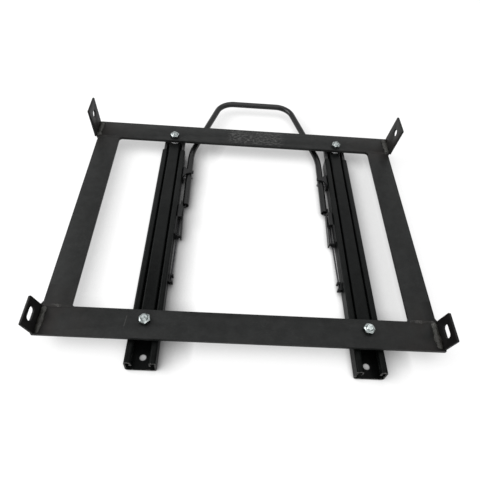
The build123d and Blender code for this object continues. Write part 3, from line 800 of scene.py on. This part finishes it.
def beadTree(look):
    sizes = {name: "Float" for name in look["fillet"]}
    tree, given = newTree("weldBead", {**sizes, "Material": "Material"})
    path = addNode(tree, "GeometryNodeMeshToCurve")
    tree.links.new(given["Geometry"], path.inputs["Mesh"])
    fine = feedAll(tree, addNode(tree, "GeometryNodeResampleCurve", mode="LENGTH"),
                   {"Curve": path.outputs[0], "Length": look["spacing"]})
    level = addNode(tree, "GeometryNodeSetCurveNormal", mode="Z_UP")
    tree.links.new(fine.outputs[0], level.inputs["Curve"])
    size = feedAll(tree, addNode(tree, "ShaderNodeCombineXYZ"),
                   {"X": product(tree, given["Width"], 0.5), "Y": given["Height"], "Z": 1})
    oval = feedAll(tree, addNode(tree, "GeometryNodeTransform"),
                   {"Geometry": circleCurve(tree, look["around"], 1), "Scale": size.outputs[0]})
    along = addNode(tree, "GeometryNodeSplineParameter").outputs["Length"]
    whole = addNode(tree, "GeometryNodeSplineLength").outputs["Length"]
    wave = mathNode(tree, "DIVIDE", product(tree, along, math.pi), given["Step"])
    wave = mathNode(tree, "ABSOLUTE", mathNode(tree, "SINE", wave))
    wave = mathNode(tree, "SUBTRACT", wave, look["rippleMiddle"])
    wander = seededNoise(tree, given["Seed"], look["wobbleScale"], look["wobbleDetail"])
    swell = blend(tree, (wave, given["Ripple"]), (wander, given["Wobble"]))
    swell = mathNode(tree, "ADD", swell, look["fullness"])
    toEnd = mathNode(tree, "MINIMUM", along, mathNode(tree, "SUBTRACT", whole, along))
    taper = mapRange(tree, mathNode(tree, "DIVIDE", toEnd, given["Taper"]), 0, 1,
                     look["endSize"], 1)
    skin = feedAll(tree, addNode(tree, "GeometryNodeCurveToMesh"), {
        "Curve": level.outputs[0], "Profile Curve": oval.outputs[0],
        "Scale": product(tree, swell, taper), "Fill Caps": True,
    })
    rough = seededNoise(tree, given["Seed"], look["lumpScale"])
    outwards = addNode(tree, "ShaderNodeVectorMath", operation="SCALE")
    normal = addNode(tree, "GeometryNodeInputNormal").outputs[0]
    tree.links.new(normal, outwards.inputs[0])
    feed(tree, outwards.inputs["Scale"], product(tree, rough, given["Lump"]))
    uneven = feedAll(tree, addNode(tree, "GeometryNodeSetPosition"),
                     {"Geometry": skin.outputs[0], "Offset": outwards.outputs[0]})
    closeTree(tree, uneven.outputs[0], given["Material"])
    return tree


# Each tab bead lies on its bar, along the inside of the tab
def tabRuns(look):
    half = seat["frameSpan"] / 2
    nearStart = seat["nearEdge"]
    farStart = seat["farEdge"] - seat["crossBarWidth"]
    places = ((-1, nearStart, half - look["tabSheet"]),
              (1, nearStart + look["setback"], half - look["tabSheet"]),
              (-1, farStart, half), (1, farStart, half))
    runs = []
    for side, start, inner in places:
        x = seat["frameMiddle"] + side * (inner - look["fillet"]["Width"] / 2 + look["tabLap"])
        ends = (start + look["tabInset"], start + seat["crossBarWidth"] - look["tabInset"])
        runs.append([(x, y, seat["barTop"]) for y in ends])
    return runs


# Ground seams over both faces of the joints between cross bars and side bars
def seamRuns(look):
    outside = seat["frameSpan"] / 2 - seat["sideBarInset"] - look["seamInset"]
    length = seat["sideBarWidth"] - 2 * look["seamInset"]
    runs = []
    for y in (seat["nearEdge"] + seat["crossBarWidth"], seat["farEdge"] - seat["crossBarWidth"]):
        for side in (-1, 1):
            outer = seat["frameMiddle"] + side * outside
            inner = outer - side * length
            for z in (seat["barTop"], seat["barBottom"]):
                runs.append([(outer, y, z), (inner, y, z)])
    return runs


def addWelds(look):
    tree = beadTree(look)
    tabBeads = bake("tabBeads", lineMesh("tabPaths", tabRuns(look)), tree,
                    {**look["fillet"], "Material": finishes["weld_bead"]})
    finishPiece(tabBeads, "frame_coat", "frame", "tab_welds", finish="weld_bead")
    seamBeads = bake("seamBeads", lineMesh("seamPaths", seamRuns(look)), tree,
                     {**look["ground"], "Material": finishes["seam_bead"]})
    finishPiece(seamBeads, "frame_coat", "frame", finish="seam_bead")


addWelds(beads)
print("weld beads built")


# Frame bars and tabs with softened edges
softened = {
    "names": ["near_cross_bar", "far_cross_bar", "left_side_bar", "right_side_bar",
              "near_left_tab", "near_right_tab", "far_left_tab", "far_right_tab"],
    "width": 0.6 * mm, "segments": 3, "angle": 40.0, "smooth": 35,
    "merge": 0.001 * mm, "flat": 1.0,
}


# A node's mesh with its doubles merged and its flat faces made whole
def cleanCopy(node, look):
    mesh = node.data.copy()
    mesh.transform(node.matrix_world)
    shape = bmesh.new()
    shape.from_mesh(mesh)
    bmesh.ops.remove_doubles(shape, verts=shape.verts, dist=look["merge"])
    bmesh.ops.dissolve_limit(shape, angle_limit=math.radians(look["flat"]), verts=shape.verts,
                             edges=shape.edges)
    shape.to_mesh(mesh)
    shape.free()
    return mesh


def addSoftened(look):
    for name in look["names"]:
        source = linked("edged", cleanCopy(nodes[name], look))
        bevel = source.modifiers.new("edges", "BEVEL")
        bevel.width = look["width"]
        bevel.segments = look["segments"]
        bevel.limit_method = "ANGLE"
        bevel.angle_limit = math.radians(look["angle"])
        first, *others = name.split("_")
        piece = linked(first + "".join(word.capitalize() for word in others), flattened(source))
        finishPiece(piece, "frame_coat", "frame", name, smooth=look["smooth"])


addSoftened(softened)
print("frame edges softened")


# Finishes of the CAD nodes; a name without its side stands for both sides
nodeSlots = {
    "frame_coat": ["frame_corner_welds", "tab_welds", *softened["names"]],
    "rail_coat": ["inner_rail", "outer_rail"],
    "shoe_plastic": ["glide_shoes"],
    "bracket_coat": ["handle_bracket", "latch_bracket", "rod_anchor"],
    "latch_coat": ["latch_lever"],
    "pin_steel": ["pivot_pin"],
    "spring_steel": ["torsion_rod"],
    "ball_steel": ["bearing_balls"],
    "retainer_steel": ["ball_retainers"],
    "bright_zinc": ["frame_bolts", "frame_nuts"],
    "washer_zinc": ["spacer_washers"],
    "tube_coat": ["release_bar"],
}
for slot, names in nodeSlots.items():
    for name in names:
        for full in (name, "left_" + name, "right_" + name):
            if full in nodes:
                nodes[full].data.materials.clear()
                nodes[full].data.materials.append(finishes[slot])
print("carried-over nodes finished")


# Floor, light and camera
studio = {
    "floorSide": 8.0, "floorDrop": 0.2 * mm, "floorTone": 0.8, "floorLit": 0.28,
    "floorGlow": 0.76, "shadeReach": 14 * mm, "shadeSpan": (0, 0.7), "shadeSamples": 8,
    "castFrom": (-1.0, -0.45, 0.85), "castReach": 42 * mm, "castSpan": (0.16, 0.9),
    "castSamples": 16, "ambient": 0.55, "backdrop": 1.0,
    "lamps": {
        "sideLamp": {"place": (-1.3, 0.2, 0.85), "size": 1.1, "watts": 16.0},
        "topLamp": {"place": (0.2, 0.3, 1.6), "size": 1.4, "watts": 9.0},
        "frontLamp": {"place": (0.3, -1.2, 1.3), "size": 1.4, "watts": 5.0},
    },
}


# 1 for rays that the camera sees, 0 for the light that bounces between surfaces
def whereShown(tree):
    path = addNode(tree, "ShaderNodeLightPath")
    seen = mathNode(tree, "ADD", path.outputs["Is Camera Ray"], path.outputs["Is Glossy Ray"])
    return mathNode(tree, "ADD", seen, path.outputs["Is Transmission Ray"], clamp=True)


# How open the floor is within reach, from 0 to 1 over span
def openness(tree, samples, reach, span, normal=None):
    hidden = addNode(tree, "ShaderNodeAmbientOcclusion", samples=samples)
    hidden.inputs["Distance"].default_value = reach
    if normal:
        tree.links.new(normal, hidden.inputs["Normal"])
    return mapRange(tree, hidden.outputs["AO"], *span)


# White floor that glows, dark under the object and where its shadow falls to the right
def floorMaterial(look):
    material = bpy.data.materials.new("floorWhite")
    material.use_nodes = True
    tree = material.node_tree
    tree.nodes.clear()
    out = addNode(tree, "ShaderNodeOutputMaterial")
    shade = openness(tree, look["shadeSamples"], look["shadeReach"], look["shadeSpan"])
    fromSide = addNode(tree, "ShaderNodeCombineXYZ")
    for socket, part in zip(fromSide.inputs, Vector(look["castFrom"]).normalized()):
        socket.default_value = part
    cast = openness(tree, look["castSamples"], look["castReach"], look["castSpan"],
                    fromSide.outputs[0])
    shade = product(tree, shade, cast)
    shown = whereShown(tree)
    black, white = (0, 0, 0), (1, 1, 1)
    lit = mixColour(tree, shade, black, (look["floorLit"],) * 3)
    diffuse = feedAll(tree, addNode(tree, "ShaderNodeBsdfDiffuse"),
                      {"Color": mixColour(tree, shown, (look["floorTone"],) * 3, lit)})
    glow = feedAll(tree, addNode(tree, "ShaderNodeEmission"), {
        "Color": mixColour(tree, shade, black, white),
        "Strength": product(tree, shown, look["floorGlow"]),
    })
    both = addNode(tree, "ShaderNodeAddShader")
    tree.links.new(diffuse.outputs[0], both.inputs[0])
    tree.links.new(glow.outputs[0], both.inputs[1])
    tree.links.new(both.outputs[0], out.inputs["Surface"])
    return material


def addFloor(look):
    bpy.ops.mesh.primitive_plane_add(size=look["floorSide"], location=(0, 0, 0))
    floor = bpy.context.object
    floor.name = "floor"
    level = cadBox[0][2] - look["floorDrop"]
    floor.data.transform(Matrix.Translation((0, 0, level)))
    floor.data.materials.append(floorMaterial(look))


def addWorld(look):
    world = bpy.data.worlds.new("studio")
    scene.world = world
    world.use_nodes = True
    tree = world.node_tree
    tree.nodes.clear()
    strength = mapRange(tree, whereShown(tree), 0, 1, look["ambient"], look["backdrop"])
    light = feedAll(tree, addNode(tree, "ShaderNodeBackground"),
                    {"Color": (1, 1, 1), "Strength": strength})
    out = addNode(tree, "ShaderNodeOutputWorld")
    tree.links.new(light.outputs[0], out.inputs["Surface"])


def addLamps(lamps):
    for name, lamp in lamps.items():
        data = bpy.data.lights.new(name, "AREA")
        data.shape = "SQUARE"
        data.size = lamp["size"]
        data.energy = lamp["watts"]
        source = linked(name, data)
        source.location = lamp["place"]
        aim = (-Vector(lamp["place"])).to_track_quat("-Z", "Y")
        source.rotation_euler = aim.to_euler()


# The photograph's view; angles in degrees, lens and sensor in millimetres
view = {
    "place": (-49.92 * mm, -383.28 * mm, 513.84 * mm),
    "azimuth": -3.956, "elevation": 51.928, "roll": 6.126, "lens": 33.044, "sensor": 36.0,
}


def addCamera(look):
    turn, lift, roll = (math.radians(look[key]) for key in ("azimuth", "elevation", "roll"))
    back = Vector((math.sin(turn) * math.cos(lift), -math.cos(turn) * math.cos(lift),
                   math.sin(lift)))
    right = Vector((math.cos(turn), math.sin(turn), 0))
    up = back.cross(right)
    across = right * math.cos(roll) + up * math.sin(roll)
    upwards = up * math.cos(roll) - right * math.sin(roll)
    data = bpy.data.cameras.new("photoCamera")
    data.lens = look["lens"]
    data.sensor_width = look["sensor"]
    camera = linked("photoCamera", data)
    turned = Matrix((across, upwards, back)).transposed().to_4x4()
    camera.matrix_world = Matrix.Translation(look["place"]) @ turned
    scene.camera = camera


addFloor(studio)
addWorld(studio)
addLamps(studio["lamps"])
addCamera(view)
scene.view_settings.view_transform = "Standard"
print("studio and camera ready")
